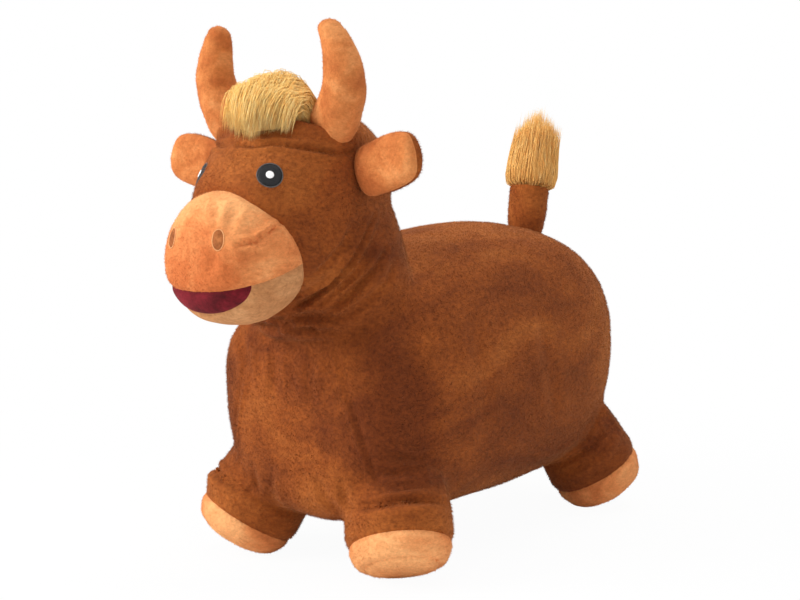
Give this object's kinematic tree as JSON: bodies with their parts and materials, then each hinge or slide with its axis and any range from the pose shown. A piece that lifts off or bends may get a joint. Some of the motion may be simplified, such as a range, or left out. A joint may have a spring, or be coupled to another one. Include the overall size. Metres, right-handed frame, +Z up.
{
  "type": "bouncy ride on animal",
  "caption": "Plush-covered inflatable ride-on bull: airtight bladder in a zip-off cover, stuffed horns as grips, ears, tail and four splayed feet.",
  "frame": {"origin": "on the floor, midway between its sides and midway between the muzzle and the hind feet", "axes": "+Z up, -Y the way the animal faces, +X its left side"},
  "size_m": [0.2782, 0.572, 0.4863],
  "materials": {
    "brown_plush": "short pile plush",
    "tan_plush": "short pile plush",
    "pale_plush": "short pile plush",
    "mouth_felt": "short pile plush, appliqued",
    "golden_fur": "long pile fur",
    "eye_charcoal": "satin embroidery",
    "eye_white": "satin embroidery",
    "nostril_felt": "felt with a stitched edge",
    "bladder_vinyl": "soft vinyl sheet, welded",
    "stuffing": "polyester stuffing",
    "zip_tape": "woven tape with moulded teeth",
    "zip_metal": "satin metal"
  },
  "bodies": {
    "cover": {"chest_panel_left": "brown_plush", "chest_panel_right": "brown_plush", "flank_panel_left": "brown_plush", "flank_panel_right": "brown_plush", "neck_cover": "brown_plush", "head_cover": "brown_plush", "leg_sleeve_front_left": "brown_plush", "leg_sleeve_front_right": "brown_plush", "leg_sleeve_hind_left": "brown_plush", "leg_sleeve_hind_right": "brown_plush", "muzzle_cover": "tan_plush", "horn_cover_left": "tan_plush", "horn_cover_right": "tan_plush", "hoof_band_front_left": "tan_plush", "hoof_band_front_right": "tan_plush", "hoof_band_hind_left": "tan_plush", "hoof_band_hind_right": "tan_plush", "hoof_sole_front_left": "tan_plush", "hoof_sole_front_right": "tan_plush", "hoof_sole_hind_left": "tan_plush", "hoof_sole_hind_right": "tan_plush", "chin_cover": "pale_plush", "mouth_patch": "mouth_felt", "forelock": "golden_fur", "eye_disc_left": "eye_charcoal", "eye_disc_right": "eye_charcoal", "eye_highlight_left": "eye_white", "eye_highlight_right": "eye_white", "nostril_left": "nostril_felt", "nostril_right": "nostril_felt", "bladder": "bladder_vinyl", "valve_seat": "bladder_vinyl", "horn_filling_left": "stuffing", "horn_filling_right": "stuffing", "zip_tape_left": "zip_tape", "zip_tape_right": "zip_tape", "zip_stop_front": "zip_metal", "zip_stop_hind": "zip_metal"},
    "ear_left": {"ear_front_left": "tan_plush", "ear_back_left": "brown_plush", "ear_filling_left": "stuffing"},
    "ear_right": {"ear_front_right": "tan_plush", "ear_back_right": "brown_plush", "ear_filling_right": "stuffing"},
    "tail": {"tail_sleeve": "brown_plush", "tail_filling": "stuffing", "tail_tuft": "golden_fur"},
    "valve_plug": {"valve_plug": "bladder_vinyl"},
    "zip_slider": {"zip_slider": "zip_metal"},
    "zip_pull": {"zip_pull": "zip_metal"}
  },
  "joints": [
    {"name": "ear_left_fold", "type": "hinge", "parent": "cover", "child": "ear_left", "pos_m": [0.08037, -0.1556, 0.361], "axis": [-0.273, 0.0384, 0.9613], "range_deg": [-20, 20], "stiffness_Nm_per_rad": 0.05},
    {"name": "ear_right_fold", "type": "hinge", "parent": "cover", "child": "ear_right", "pos_m": [-0.08037, -0.1556, 0.361], "axis": [0.273, 0.0384, 0.9613], "range_deg": [-20, 20], "stiffness_Nm_per_rad": 0.05},
    {"name": "tail_bend", "type": "hinge", "parent": "cover", "child": "tail", "pos_m": [0, 0.2364, 0.29736], "axis": [1, 0, 0], "range_deg": [-20, 20], "stiffness_Nm_per_rad": 0.15},
    {"name": "valve_plug_slide", "type": "slide", "parent": "cover", "child": "valve_plug", "axis": [0, 0, -1], "range_m": [0, 0.006]},
    {"name": "zip_slide", "type": "slide", "parent": "cover", "child": "zip_slider", "axis": [0, 1, 0], "range_m": [0, 0.131]},
    {"name": "zip_pull_swing", "type": "hinge", "parent": "zip_slider", "child": "zip_pull", "pos_m": [0, -0.0151, 0.03354], "axis": [1, 0, 0], "range_deg": [-80, 80]}
  ]
}
